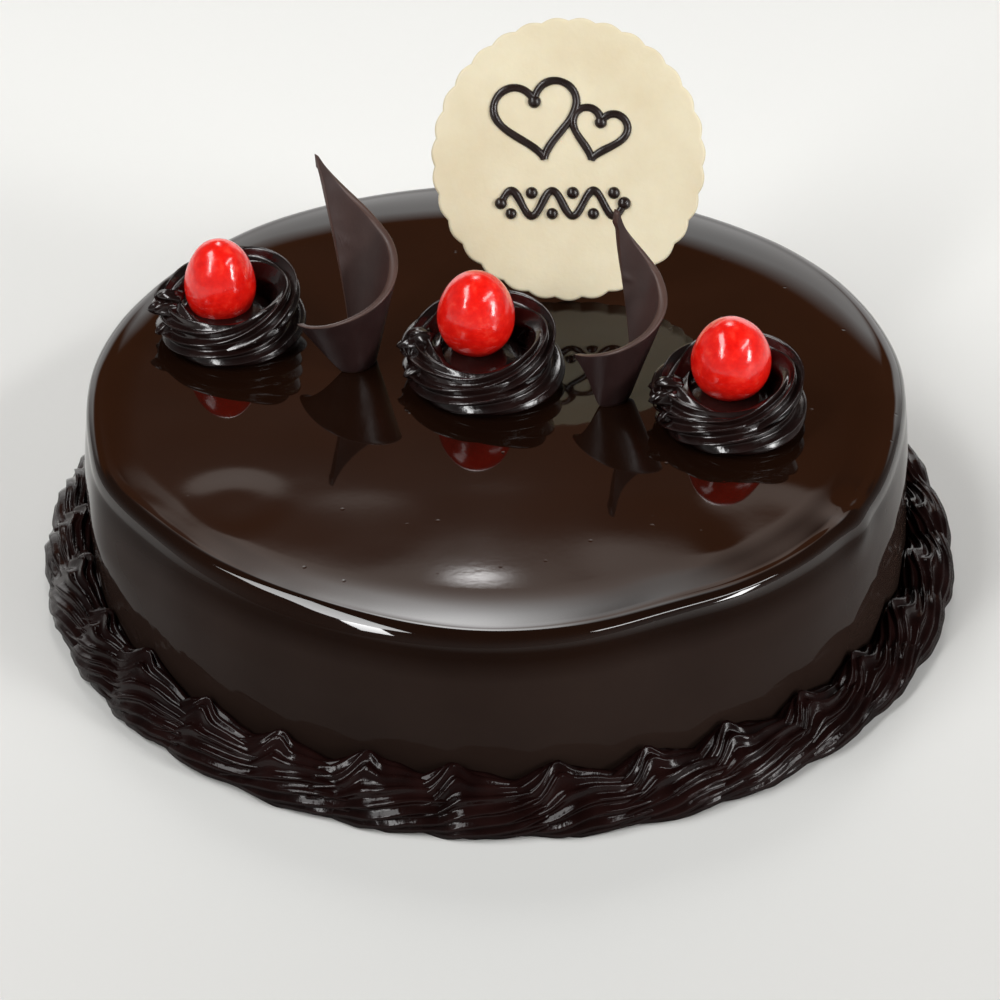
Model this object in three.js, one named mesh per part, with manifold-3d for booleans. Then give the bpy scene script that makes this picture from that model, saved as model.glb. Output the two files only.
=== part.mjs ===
// Round chocolate truffle cake, glazed, with a piped shell border, three cherry rosettes,
// two curled chocolate leaves and an upright white chocolate disc.
// Millimetres, +Z up, front towards -Y, origin at the centre of the flat base.

import * as THREE from 'three';
import { mergeVertices } from 'three/addons/utils/BufferGeometryUtils.js';
import Module from 'manifold-3d';

const wasm = await Module();
wasm.setup();

// ---------------------------------------------------------------- driving dimensions
const GAP = 0.3; // clearance between pieces that touch

const CAKE = { wallRadius: 101.2, topRadius: 100, height: 50, edgeRadius: 4.5, footRadius: 1.5, sides: 80 };

const BORDER = {
  shells: 30,
  stepsPerShell: 6,
  firstCrest: -95, // angle of one shell's crest, in degrees from +X
  crestShare: 1 / 3, // share of a shell's length before its crest
  outerRadius: 110.9, // between two shells
  outerSwell: 2.6, // extra reach where a shell is fattest
  height: 9.4, // between two shells
  heightSwell: 6, // extra height where a shell is fattest
};

const ROPE = { ridges: 6, ridgeDepth: 0.2, stepsPerTurn: 20 };

const ROSETTES = [
  { side: 'left', x: -67, y: 23.6, radius: 19.2, height: 15.5, startAngle: 170, turns: 1.72 },
  { side: 'middle', x: -4.4, y: 3.6, radius: 19.9, height: 15, startAngle: 190, turns: 1.66 },
  { side: 'right', x: 54.8, y: -14, radius: 18.9, height: 14.5, startAngle: 180, turns: 1.7 },
];

const CHERRIES = [
  { side: 'left', x: -69, y: 25, centre: 13.8, width: 17.6, tall: 22.6 },
  { side: 'middle', x: -5.6, y: 5.4, centre: 16.9, width: 18.9, tall: 21.4 },
  { side: 'right', x: 55.4, y: -12.4, centre: 15.4, width: 19.3, tall: 20.4 },
];

const CURL = { thickness: 1.7, footRadius: 5.2, lowTipWidth: 0.8, highTipWidth: 2.5, steps: 26, rows: 3 };

// Angles in degrees, 0 at +X and 90 at the back. x and y are the middle of the foot, lean is how
// far the curl's axis moves per millimetre of height, and the heights are those of the upper edge.
// The rim opens by rimFlare from its right side to its ends. The lower edge lifts off the glaze from
// liftFrom on, later and more steeply at a higher liftPower.
const CURLS = [
  {
    side: 'left', x: -36.4, y: 11.2, lean: [0, 0.12], rimRadius: 11.2, rimFlare: 1, from: -172, to: 130,
    lowTip: 11, steady: 25.4, sweep: 13, liftFrom: 92, liftPower: 1,
  },
  {
    side: 'right', x: 25.8, y: -3.8, lean: [0.2, 0.12], rimRadius: 8.9, rimFlare: 0.7, from: -165, to: 134,
    lowTip: 12.3, steady: 22, sweep: 10.3, liftFrom: -29, liftPower: 1.5,
  },
];

const DISC = {
  x: 17.4, y: 36.3, width: 69, tall: 71, thickness: 3, lean: 31.5,
  scallops: 31, scallopDepth: 0.8, stepsPerScallop: 4,
};

const PIPING = { strokeRadius: 1, beadRadius: 1.55, sides: 6 };

// Measured on the disc's face, from its lowest point up and from its middle to the right.
const ORNAMENT = {
  hearts: [
    { x: -8, y: 46.5, width: 21, tilt: 10 },
    { x: 7.5, y: 42.5, width: 14, tilt: -14 },
  ],
  wave: { x: -17, y: 24.5, length: 31, swing: 3.2, waves: 3 },
  beadOffset: 2.6,
};

// ---------------------------------------------------------------- looks
const GLAZE = { color: 0x2a1710, roughness: 0.12, metalness: 0 };
const GANACHE = { color: 0x24130f, roughness: 0.3, metalness: 0 };
const CHERRY_RED = { color: 0xd8160f, roughness: 0.15, metalness: 0 };
const DARK_CHOCOLATE = { color: 0x3a2420, roughness: 0.5, metalness: 0 };
const WHITE_CHOCOLATE = { color: 0xe9dcbc, roughness: 0.5, metalness: 0 };

// ---------------------------------------------------------------- small helpers
const { PI, sin, cos, max, min } = Math;
const radians = (degrees) => (degrees * PI) / 180;
const mix = (a, b, t) => a + (b - a) * t;
const smooth = (t) => THREE.MathUtils.smoothstep(t, 0, 1);

/** Closed skin over rings of points. The rings either join into a loop or are capped. */
function skin(rings, { loop }) {
  const around = rings[0].length;
  const points = rings.flat();
  const index = [];
  const spans = loop ? rings.length : rings.length - 1;
  for (let i = 0; i < spans; i++) {
    for (let j = 0; j < around; j++) {
      const a = i * around + j;
      const b = i * around + ((j + 1) % around);
      const c = ((i + 1) % rings.length) * around + j;
      const d = ((i + 1) % rings.length) * around + ((j + 1) % around);
      index.push(a, b, d, a, d, c);
    }
  }
  if (!loop) {
    addCap(points, index, 0, around, true);
    addCap(points, index, (rings.length - 1) * around, around, false);
  }
  const geometry = new THREE.BufferGeometry().setFromPoints(points);
  geometry.setIndex(index);
  return geometry;
}

/** Fan of triangles that closes one end ring about its middle. */
function addCap(points, index, first, around, isStart) {
  const middle = new THREE.Vector3();
  for (let j = 0; j < around; j++) middle.add(points[first + j]);
  points.push(middle.divideScalar(around));
  for (let j = 0; j < around; j++) {
    const a = first + j;
    const b = first + ((j + 1) % around);
    index.push(points.length - 1, isStart ? b : a, isStart ? a : b);
  }
}

/** Closed geometry to a solid that can be joined and cut. */
function toSolid(geometry) {
  let bare = geometry.clone();
  for (const name of Object.keys(bare.attributes)) {
    if (name !== 'position') bare.deleteAttribute(name);
  }
  bare = mergeVertices(bare, 1e-4);
  return new wasm.Manifold(new wasm.Mesh({
    numProp: 3,
    vertProperties: new Float32Array(bare.attributes.position.array),
    triVerts: new Uint32Array(bare.index.array),
  }));
}

/** Largest single piece of a solid, back as a geometry. */
function toGeometry(solid) {
  const pieces = solid.decompose().sort((a, b) => b.volume() - a.volume());
  const mesh = pieces[0].getMesh();
  const geometry = new THREE.BufferGeometry();
  geometry.setAttribute('position', new THREE.BufferAttribute(mesh.vertProperties, 3));
  geometry.setIndex(new THREE.BufferAttribute(mesh.triVerts, 1));
  return geometry;
}

function joinAll(geometries) {
  return geometries.map(toSolid).reduce((whole, solid) => whole.add(solid));
}

/** Body of revolution about Z from a profile of [radius, height] pairs that ends on the axis. */
function turned(profile, sides) {
  const points = profile.map(([radius, height]) => new THREE.Vector2(radius, height));
  return new THREE.LatheGeometry(points, sides).rotateX(PI / 2);
}

function named(name, geometry, look) {
  geometry.computeVertexNormals();
  const mesh = new THREE.Mesh(geometry, new THREE.MeshStandardMaterial(look));
  mesh.name = name;
  return mesh;
}

// ---------------------------------------------------------------- cake
/** Quarter arc of a rounded edge, as [radius, height] pairs. */
function roundedEdge(centreRadius, centreHeight, edge, fromDegrees, toDegrees, steps) {
  const arc = [];
  for (let i = 0; i <= steps; i++) {
    const angle = radians(mix(fromDegrees, toDegrees, i / steps));
    arc.push([centreRadius + edge * cos(angle), centreHeight + edge * sin(angle)]);
  }
  return arc;
}

function cakeBody() {
  const { wallRadius, topRadius, height, edgeRadius, footRadius, sides } = CAKE;
  const profile = [
    [0, 0],
    ...roundedEdge(wallRadius - footRadius, footRadius, footRadius, -90, 0, 2),
    [wallRadius, height * 0.6],
    ...roundedEdge(topRadius - edgeRadius, height - edgeRadius, edgeRadius, 0, 90, 5),
    [0, height],
  ];
  return turned(profile, sides);
}

// ---------------------------------------------------------------- border
/** How fat a piped shell is along its length: a quick swell and a long tail. */
function shellSwell(phase) {
  const crest = BORDER.crestShare;
  const t = phase < crest ? phase / crest : (1 - phase) / (1 - crest);
  return smooth(t);
}

/** Cross-section of the border as [radius, height] pairs, flat below and against the wall. */
function borderSection(swell) {
  const inner = CAKE.wallRadius + GAP;
  const outer = BORDER.outerRadius + BORDER.outerSwell * swell;
  const top = BORDER.height + BORDER.heightSwell * swell;
  const width = outer - inner;
  return [
    [inner, 0],
    [outer - 1.6, 0],
    [outer, 2.4],
    [outer - 0.6, 5],
    [outer - 0.26 * width, top * 0.68],
    [outer - 0.52 * width, top * 0.94],
    [outer - 0.76 * width, top],
    [inner, top * 0.86],
  ];
}

function shellBorder() {
  const steps = BORDER.shells * BORDER.stepsPerShell;
  const rings = [];
  for (let i = 0; i < steps; i++) {
    const shell = i / BORDER.stepsPerShell - BORDER.crestShare;
    const angle = radians(BORDER.firstCrest + (shell / BORDER.shells) * 360);
    const phase = (i % BORDER.stepsPerShell) / BORDER.stepsPerShell;
    const section = borderSection(shellSwell(phase));
    rings.push(section.map(([r, z]) => new THREE.Vector3(r * cos(angle), r * sin(angle), z)));
  }
  return skin(rings.reverse(), { loop: true });
}

// ---------------------------------------------------------------- rosettes
/** Centre, thickness and heading of the piped rope at a share t of its length. */
function ropeAt(rosette, t) {
  const { radius, height, startAngle, turns } = rosette;
  const thick = mix(0.31, 0.24, t) * radius;
  const tail = smooth(min(1, (1 - t) * 9)) * smooth(min(1, t * 9 + 0.35));
  const rope = thick * mix(0.45, 1, tail);
  const reach = mix(radius - thick, radius * 0.72, t);
  const angle = radians(startAngle + 360 * turns * t);
  const level = mix(thick * 0.5, height - thick * 0.92, t ** 1.15);
  return { angle, reach, level, rope };
}

/** Ridged star section of the rope at t, standing across the way it runs. */
function ropeRing(rosette, t) {
  const { angle, reach, level, rope } = ropeAt(rosette, t);
  const ring = [];
  const sides = ROPE.ridges * 2;
  for (let j = 0; j < sides; j++) {
    const turn = (j / sides) * 2 * PI + t * 1.4;
    const r = rope * (j % 2 ? 1 - ROPE.ridgeDepth : 1);
    const out = reach + r * cos(turn);
    ring.push(new THREE.Vector3(out * cos(angle), out * sin(angle), max(0, level + r * sin(turn))));
  }
  return ring;
}

/** The rope in stretches of under one turn each, so that no stretch meets itself. */
function ropeStretches(rosette) {
  const count = Math.ceil(rosette.turns / 0.6);
  const steps = Math.round((rosette.turns / count) * ROPE.stepsPerTurn);
  const stretches = [];
  for (let k = 0; k < count; k++) {
    const rings = [];
    for (let i = 0; i <= steps; i++) {
      const overlap = k < count - 1 && i === steps ? 0.004 : 0;
      rings.push(ropeRing(rosette, (k + i / steps) / count + overlap));
    }
    stretches.push(skin(rings.reverse(), { loop: false }));
  }
  return stretches;
}

/** Low mound that fills the middle of a rosette, under its cherry. */
function rosetteCore({ radius, height }) {
  const foot = radius * 0.8;
  return turned([[0, 0.02], [foot, 0.02], [foot * 0.92, height * 0.3], [foot * 0.6, height * 0.56],
    [0, height * 0.6]], 20);
}

function rosetteSolid(rosette, cherry) {
  const whole = joinAll([rosetteCore(rosette), ...ropeStretches(rosette)]);
  const placed = whole.translate([rosette.x, rosette.y, CAKE.height + GAP]);
  return placed.subtract(toSolid(cherryGeometry(cherry, GAP)));
}

// ---------------------------------------------------------------- cherries
/** Egg shape with its narrow end up, grown by a clearance where asked. */
function cherryGeometry({ x, y, centre, width, tall }, clearance = 0) {
  const steps = 9;
  const profile = [];
  for (let i = 0; i <= steps; i++) {
    const angle = mix(-PI / 2, PI / 2, i / steps);
    const slimmer = 1 - 0.08 * sin(angle);
    const r = i % steps === 0 ? 0 : (width / 2 + clearance) * cos(angle) * slimmer;
    profile.push([r, (tall / 2 + clearance) * sin(angle)]);
  }
  return turned(profile, 16).translate(x, y, CAKE.height + centre);
}

// ---------------------------------------------------------------- curled leaves
/** Lower and upper edge of a curled leaf at an angle, as heights above the glaze. */
function curlEdges(curl, degrees) {
  const { from, to, lowTip, steady, sweep, liftFrom, liftPower } = curl;
  const along = (degrees - from) / (to - from);
  const upper = lowTip + steady * along + sweep * along ** 6;
  const narrowest = mix(CURL.lowTipWidth, CURL.highTipWidth, along);
  const dip = (lowTip - narrowest) * (1 - smooth(min(1, along / 0.22)));
  const lift = THREE.MathUtils.clamp((degrees - liftFrom) / (to - liftFrom), 0, 1) ** liftPower;
  return [min(dip + lift * upper, upper - narrowest), upper];
}

/** Point of the leaf at an angle and a share of the way up, off its middle face by some depth. */
function curlPoint(curl, degrees, share, depth) {
  const [lower, upper] = curlEdges(curl, degrees);
  const rim = curl.rimRadius + curl.rimFlare * ((degrees + 10) / 150) ** 2;
  const foot = mix(CURL.footRadius, rim, lower / upper);
  const radius = mix(foot, rim, share) + depth;
  const z = mix(lower, upper, share);
  return new THREE.Vector3(
    curl.x + curl.lean[0] * z + radius * cos(radians(degrees)),
    curl.y + curl.lean[1] * z + radius * sin(radians(degrees)),
    CAKE.height + GAP + z,
  );
}

/** One upright cut through the leaf: up its outer face and down its inner face. */
function curlRing(curl, degrees, grow) {
  const half = CURL.thickness / 2 + grow;
  const ring = [];
  for (let j = 0; j <= CURL.rows; j++) ring.push(curlPoint(curl, degrees, j / CURL.rows, half));
  for (let j = CURL.rows; j >= 0; j--) ring.push(curlPoint(curl, degrees, j / CURL.rows, -half));
  return ring;
}

function curlGeometry(curl, grow = 0) {
  const rings = [];
  for (let i = 0; i <= CURL.steps; i++) {
    rings.push(curlRing(curl, mix(curl.from, curl.to, i / CURL.steps), grow));
  }
  return skin(rings.reverse(), { loop: false });
}

// ---------------------------------------------------------------- disc
/** Oval outline with shallow scallops, its lowest scallop at height 0. */
function discShape() {
  const { width, tall, scallops, scallopDepth, stepsPerScallop } = DISC;
  const points = [];
  const steps = scallops * stepsPerScallop;
  for (let i = 0; i < steps; i++) {
    const angle = (i / steps) * 2 * PI - PI / 2;
    const bulge = Math.abs(cos(((angle + PI / 2) * scallops) / 2));
    const inset = scallopDepth * (1 - bulge);
    const across = (width / 2 - inset) * cos(angle);
    points.push(new THREE.Vector2(across, tall / 2 + (tall / 2 - inset) * sin(angle)));
  }
  return new THREE.Shape(points);
}

/** Outline of a heart of a given width, tilted about its middle, open at its notch. */
function heartCurve({ x, y, width, tilt }) {
  const points = [];
  const steps = 18;
  const turn = radians(tilt);
  for (let i = 0; i <= steps; i++) {
    const t = mix(0.12, 2 * PI - 0.12, i / steps);
    const across = (width / 2) * sin(t) ** 3;
    const up = (width / 32) * (13 * cos(t) - 5 * cos(2 * t) - 2 * cos(3 * t) - cos(4 * t));
    points.push(new THREE.Vector3(
      x + across * cos(turn) - up * sin(turn), y + across * sin(turn) + up * cos(turn), 0));
  }
  return new THREE.CatmullRomCurve3(points);
}

/** Wavy line from left to right. */
function waveCurve({ x, y, length, swing, waves }) {
  const points = [];
  const steps = waves * 6;
  for (let i = 0; i <= steps; i++) {
    const t = i / steps;
    points.push(new THREE.Vector3(x + length * t, y + swing * sin(2 * PI * waves * t), 0));
  }
  return new THREE.CatmullRomCurve3(points);
}

/** Piped line along a curve on the disc's face, with a bead at each end. */
function pipedLine(curve, steps) {
  const section = new THREE.Shape();
  for (let i = 0; i < PIPING.sides; i++) {
    const angle = ((i + 0.5) / PIPING.sides) * 2 * PI;
    const x = PIPING.strokeRadius * cos(angle);
    const y = PIPING.strokeRadius * sin(angle);
    if (i === 0) section.moveTo(x, y);
    else section.lineTo(x, y);
  }
  const line = new THREE.ExtrudeGeometry(section, { steps, bevelEnabled: false, extrudePath: curve });
  return [line, bead(curve.getPoint(0)), bead(curve.getPoint(1))];
}

function bead({ x, y }) {
  return new THREE.SphereGeometry(PIPING.beadRadius, 8, 6).translate(x, y, 0);
}

/** Ornament piped on the face: two hearts that overlap, with a wavy line and beads below. */
function ornament() {
  const { hearts, wave } = ORNAMENT;
  const beads = [];
  for (let i = 0; i < wave.waves * 2; i++) {
    const x = wave.x + (wave.length * (i + 0.5)) / (wave.waves * 2);
    beads.push(bead(new THREE.Vector3(x, wave.y + (i % 2 ? 1 : -1) * ORNAMENT.beadOffset, 0)));
  }
  const outlines = hearts.flatMap((heart) => pipedLine(heartCurve(heart), 24));
  return [...outlines, ...pipedLine(waveCurve(wave), 30), ...beads];
}

function discGeometry() {
  const plate = new THREE.ExtrudeGeometry(discShape(), { depth: DISC.thickness, bevelEnabled: false });
  plate.translate(0, 0, -DISC.thickness);
  const lean = radians(DISC.lean);
  const backEdgeDrop = DISC.thickness * sin(lean);
  return toGeometry(joinAll([plate, ...ornament()]))
    .rotateX(PI / 2 - lean)
    .translate(DISC.x, DISC.y, CAKE.height + GAP + backEdgeDrop);
}

// ---------------------------------------------------------------- the whole cake
const cake = new THREE.Group();
cake.add(named('cake_body', cakeBody(), GLAZE));
cake.add(named('shell_border', shellBorder(), GANACHE));

ROSETTES.forEach((rosette, i) => {
  let solid = rosetteSolid(rosette, CHERRIES[i]);
  for (const curl of CURLS) solid = solid.subtract(toSolid(curlGeometry(curl, GAP)));
  cake.add(named(`rosette_${rosette.side}`, toGeometry(solid), GANACHE));
});

for (const cherry of CHERRIES) cake.add(named(`cherry_${cherry.side}`, cherryGeometry(cherry), CHERRY_RED));
for (const curl of CURLS) cake.add(named(`curl_${curl.side}`, curlGeometry(curl), DARK_CHOCOLATE));
cake.add(named('white_disc', discGeometry(), WHITE_CHOCOLATE));

export default cake;
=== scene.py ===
"""Looks of the truffle cake: glossy glaze, piped border and rosettes, cherries, curls and disc.

Sizes in this script are millimetres, as the cake's own, and become metres where a mesh is made.
"""

import math

import bmesh
import bpy
import numpy as np
from mathutils import Matrix, Vector, noise


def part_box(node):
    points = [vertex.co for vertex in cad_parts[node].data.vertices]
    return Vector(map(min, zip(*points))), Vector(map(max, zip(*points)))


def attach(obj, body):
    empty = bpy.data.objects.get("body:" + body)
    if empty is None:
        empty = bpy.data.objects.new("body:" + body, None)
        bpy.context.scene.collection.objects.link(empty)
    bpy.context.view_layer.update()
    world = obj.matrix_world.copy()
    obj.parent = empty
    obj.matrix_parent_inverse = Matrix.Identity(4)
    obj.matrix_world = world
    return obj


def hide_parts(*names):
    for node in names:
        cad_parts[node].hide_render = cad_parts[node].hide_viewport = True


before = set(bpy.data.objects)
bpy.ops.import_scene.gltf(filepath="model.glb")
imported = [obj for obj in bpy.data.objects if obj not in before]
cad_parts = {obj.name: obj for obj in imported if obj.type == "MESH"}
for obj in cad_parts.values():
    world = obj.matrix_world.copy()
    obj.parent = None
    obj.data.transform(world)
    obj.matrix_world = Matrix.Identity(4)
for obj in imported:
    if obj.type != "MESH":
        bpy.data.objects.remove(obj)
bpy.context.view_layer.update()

MM = 0.001
TAU = 2 * math.pi

# ---------------------------------------------------------------- sizes from the frame
SIDES = ("left", "middle", "right")


def box_mm(node):
    """Lowest and highest corner of a CAD node in millimetres."""
    low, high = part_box(node)
    return np.array(low) / MM, np.array(high) / MM


BODY_HIGH = box_mm("cake_body")[1]
WALL_RADIUS = float(BODY_HIGH[0])
TOP = float(BODY_HIGH[2])

# ---------------------------------------------------------------- driving dimensions
TOP_RADIUS = WALL_RADIUS - 1.2
EDGE_RADIUS = 4.5
FOOT_RADIUS = 1.5
BODY = {
    "columns": 400, "base_rows": 8, "foot_rows": 5, "wall_rows": 34, "edge_rows": 26, "top_rows": 96,
    "inner_ring": 0.4, "straight_to": 0.6, "taper_power": 1.4,
}
# Where the sag, the wall's bulges and the wall's waves fade in: start and length of the stretch, as
# shares of the cake's height or of the top's radius.
FADE = {
    "sag_height": (0.8, 0.1), "bulge_height": (0.12, 0.5), "bulge_radius": (0.55, 0.4),
    "wall_radius": (0.9, 0.1),
}
# The top sinks from some radius on: at the sides, and how much further in at the front and the back.
# Its rate goes over from the front's to the back's along a stretch of the angle's sine.
DROOP = {
    "from": 90.0, "front": 6.5, "front_middle": -90, "front_width": 45,
    "back": 14.5, "back_middle": 72, "back_width": 85,
    "front_rate": 0.0062, "back_rate": 0.0045, "back_sine": (-0.1, 0.9),
}
# The rounded edge is an arc bent by a power: a lower one is squarer, a higher one is more of a chamfer.
EDGE_POWER = 0.92
# Where round the cake the edge is squarer: angle, half width, how much. Below 0 it's more of a chamfer.
SHARPER = ((-48, 34, 0.32), (-172, 32, 0.3), (-119, 15, -0.45))
# Shallow dents in the top with flat floors: x, y, width and depth. A depth below 0 is a rise.
DENTS = (
    (-61.5, -49.5, 11.0, 0.13), (61.0, -58.0, 15.0, 0.13),
    (-32.0, -60.0, 14.0, 0.03), (38.0, -66.0, 16.0, -0.07),
)
# Where the wall stands out or in: angle, half width of the stretch in degrees, millimetres.
BULGES = ((90, 80, 2.4), (35, 18, 0.9), (-10, 16, -1.8), (-66, 9, -1.6), (-92, 14, 1.5), (-157, 9, 1.8))
# Where the top set smooth and flat: x, y and width of the stretch.
CALM = {"x": -6.0, "y": -78.0, "width": 24.0}
# Waves in the glaze, broad and fine: depth and span on the top; depth, waves round and span on the wall.
TOP_WAVES = {"broad": (0.12, 50), "fine": (0.05, 22)}
WALL_WAVES = {"broad": (0.30, 2.2, 60), "fine": (0.14, 7, 30)}
SIDE_TILT = 0.011  # slope of the top towards the front, full at its two sides
LUMP = {"at": (82.5, -53.5, 44.5), "high": 1.3, "width": 5.5}  # glaze caught on the right front edge
FLAT_BASE = 0.2  # below this height the cake's base stays flat
SINK = 0.5  # how far a topping is pressed into the glaze

BORDER = {
    "shells": 30, "first_crest": -95.0, "middle": 107.0, "wide": 6.0, "high": 7.0,
    "ridges": 14, "depth": 0.27, "steps": 34, "sides": 98, "twist": 0.9, "leans_in": 0.45, "into_wall": 0.8,
}
# A shell along its length, in pitches from its crest: its two ends, how its size rises and falls, how
# much later it does so on its outer side, and the length over which its ends close.
SWELL = {
    "from": -0.66, "to": 1.02, "start": 0.74, "end": 0.68, "outer_lag": 0.22,
    "rise_length": 0.62, "rise_delay": 0.35, "fall_length": 0.92, "cap": 0.1, "least": 0.02,
    "narrowest": 0.35, "seat": 0.3, "lift": 0.6,
}
# The small peak at a shell's crest: height, place and width along it, turn about it and sharpness.
PEAK = {"high": 2.2, "at": -0.03, "width": 0.13, "turn": 0.35, "power": 6, "leans_in": 1.3}
# How uneven the shells are, as shares: size, height, place along the border, twist and skin.
UNEVEN = {"size": 0.07, "height": 0.2, "place": 0.14, "twist": 0.45, "skin": 0.05}

ROSETTES = {
    "left": {"spin": 0.0, "seed": 3.0},
    "middle": {"spin": -6.0, "seed": 11.0},
    "right": {"spin": 4.0, "seed": 23.0},
}
SWIRL_WIDER, SWIRL_TALLER = 0.5, 1.0  # how far the rope's ridges stand past the solid
# The rope: its ridges and drift, its upper turn's lean and smoother inside, and its torn ends.
ROPE = {
    "ridges": 8, "depth": 0.4, "steps": 360, "sides": 104, "twist": 10.5, "uneven_twist": 0.5,
    "drift": 0.8, "uneven": 0.14, "key_round": 22, "key_samples": 9,
    "lean": 0.32, "lean_from": 0.55, "lean_over": 0.15,
    "smooth_from": 0.4, "smooth_over": 0.2, "smooth_side": 1.6, "smoothed": 0.75,
    "start_length": 0.012, "torn_least": 0.01, "torn_more": 0.035, "torn_floor": 0.0004,
}
# The rope's middle line at some angles: angle, reach, height of its middle, half width, half height,
# as shares of the swirl's radius and height.
ROPE_KEYS = np.array([
    (140, 0.60, 0.18, 0.16, 0.18), (165, 0.69, 0.22, 0.26, 0.25), (270, 0.73, 0.24, 0.27, 0.28),
    (360, 0.73, 0.27, 0.27, 0.30), (450, 0.72, 0.30, 0.27, 0.32), (540, 0.66, 0.38, 0.25, 0.29),
    (600, 0.62, 0.36, 0.24, 0.25), (640, 0.64, 0.39, 0.23, 0.26), (690, 0.71, 0.55, 0.20, 0.38),
    (730, 0.73, 0.62, 0.18, 0.43), (800, 0.69, 0.62, 0.19, 0.40), (860, 0.70, 0.52, 0.21, 0.33),
    (890, 0.76, 0.46, 0.20, 0.27), (912, 0.90, 0.42, 0.12, 0.16),
])

# Torn tips on the swirl's left: angle, share of the radius at root and tip, share of the height, size.
SPIKES = (
    (168, 0.7, 1.02, 0.44, 3.2), (186, 0.7, 1.04, 0.5, 3.3),
    (200, 0.7, 1.0, 0.3, 3.0), (176, 0.64, 0.93, 0.66, 2.9),
)
SPIKE = {
    "steps": 14, "ridges": 5, "sides": 20, "depth": 0.3, "bend": 0.9, "power": 0.6, "tip": 0.06,
    "twist": 1.5, "scatter": 8, "root_drop": 0.85,
}
CORE = {"columns": 48, "rows": 10, "wide": 0.74, "tip": 0.2, "high": 0.56, "power": 0.55}
CHERRY = {
    "rows": 60, "columns": 96, "raised": 0.3, "slimmer_top": 0.08, "uneven": 0.018, "waves": 1.6,
    "pole_gap": 0.03,
}
CHERRY_SEEDS = {"left": 2.0, "middle": 5.0, "right": 9.0}

CURL = {
    "thickness": 1.7, "thicker_right": 0.5, "thick_at": -5, "thick_width": 45, "foot_radius": 5.2,
    "flare_at": -10, "flare_over": 150, "low_width": 0.8, "high_width": 3.4, "dip_length": 0.22,
    "sweep_power": 6, "sunk": 0.2, "edge": 0.03, "steps": 150, "rows": 26, "round_steps": 5,
}
# A leaf's waves by depth, span in degrees and span in height, and a faint fold across it.
LEAF_WAVES = (0.22, 30, 14)
CREASE = {"height": 27, "slope": 0.05, "level_at": 100, "from": 70, "over": 25, "depth": 0.35, "width": 0.7}
CURLS = {
    "left": {
        "x": -36.4, "y": 11.2, "lean": (0.0, 0.12), "rim": 11.2, "flare": 1.0, "from": -172.0, "to": 130.0,
        "low_tip": 11.0, "steady": 25.4, "sweep": 13.0, "lift_from": 92.0, "lift_power": 1.0,
    },
    "right": {
        "x": 25.8, "y": -3.8, "lean": (0.2, 0.12), "rim": 8.9, "flare": 0.7, "from": -165.0, "to": 134.0,
        "low_tip": 12.3, "steady": 22.0, "sweep": 10.3, "lift_from": -29.0, "lift_power": 1.5,
    },
}

DISC = {
    "x": 17.4, "y": 36.3, "width": 69.0, "tall": 71.0, "thickness": 3.0, "lean": 31.5,
    "scallops": 31, "scallop_depth": 0.8, "edge": 0.7, "steps_per_scallop": 14, "gap": 0.3,
    "face_rings": 26, "rim_rings": 6, "middle": 0.03, "last_ring": 0.985, "uneven": 0.22, "uneven_span": 17,
}
PIPING = {"radius": 1.0, "sides": 18, "flat": 0.9, "uneven": 0.16, "uneven_span": 4}
BEAD = {"radius": 1.55, "sides": 20, "rows": 14, "flat": 0.85, "uneven": 0.12, "last_lift": 1.5}
HEARTS = (
    {"x": -8.0, "y": 46.5, "width": 21.0, "tilt": 10.0},
    {"x": 7.5, "y": 42.5, "width": 14.0, "tilt": -14.0},
)
HEART_STEPS, HEART_GAP = 90, 0.12
WAVE = {"x": -17.0, "y": 24.5, "length": 31.0, "swing": 3.2, "waves": 3, "bead_offset": 2.6, "steps": 130}


# ---------------------------------------------------------------- small helpers
def smooth(t):
    t = np.clip(t, 0, 1)
    return t * t * (3 - 2 * t)


def eased(value, start, length):
    """Soft share between 0 and 1 of the way along a stretch."""
    return float(smooth((value - start) / length))


def mix(a, b, t):
    return a + (b - a) * t


def around(count):
    """Angles once round in equal steps."""
    return np.arange(count) / count * TAU


def wobble(x, y=0.0, z=0.0):
    """Smooth noise between about -1 and 1 at a point."""
    return noise.noise(Vector((x, y, z)))


def wobbles(points):
    """Smooth noise for each row of an array of points."""
    return np.array([noise.noise(Vector(point)) for point in points.tolist()])


def new_object(name, data):
    """Object in the scene's collection."""
    thing = bpy.data.objects.new(name, data)
    bpy.context.scene.collection.objects.link(thing)
    return thing


def mesh_piece(name, points, faces, materials, replaced=None, face_slots=None):
    """One piece of the cake from points in millimetres, riding on the cake's body."""
    mesh = bpy.data.meshes.new(name)
    mesh.from_pydata((np.asarray(points, dtype=float) * MM).tolist(), [], faces)
    for material in materials:
        mesh.materials.append(material)
    if face_slots is not None:
        mesh.polygons.foreach_set("material_index", np.asarray(face_slots, dtype=np.int32))
    mesh.polygons.foreach_set("use_smooth", [True] * len(mesh.polygons))
    edit = bmesh.new()
    edit.from_mesh(mesh)
    bmesh.ops.recalc_face_normals(edit, faces=edit.faces)
    edit.to_mesh(mesh)
    edit.free()
    mesh.update()
    piece = new_object(name, mesh)
    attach(piece, "root")
    if replaced:
        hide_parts(replaced)
    return piece


def grid_faces(rows, columns):
    """Quads over a grid whose columns join into a loop."""
    faces = []
    for i in range(rows - 1):
        low, high = i * columns, (i + 1) * columns
        for j in range(columns):
            k = (j + 1) % columns
            faces.append((low + j, low + k, high + k, high + j))
    return faces


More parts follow.
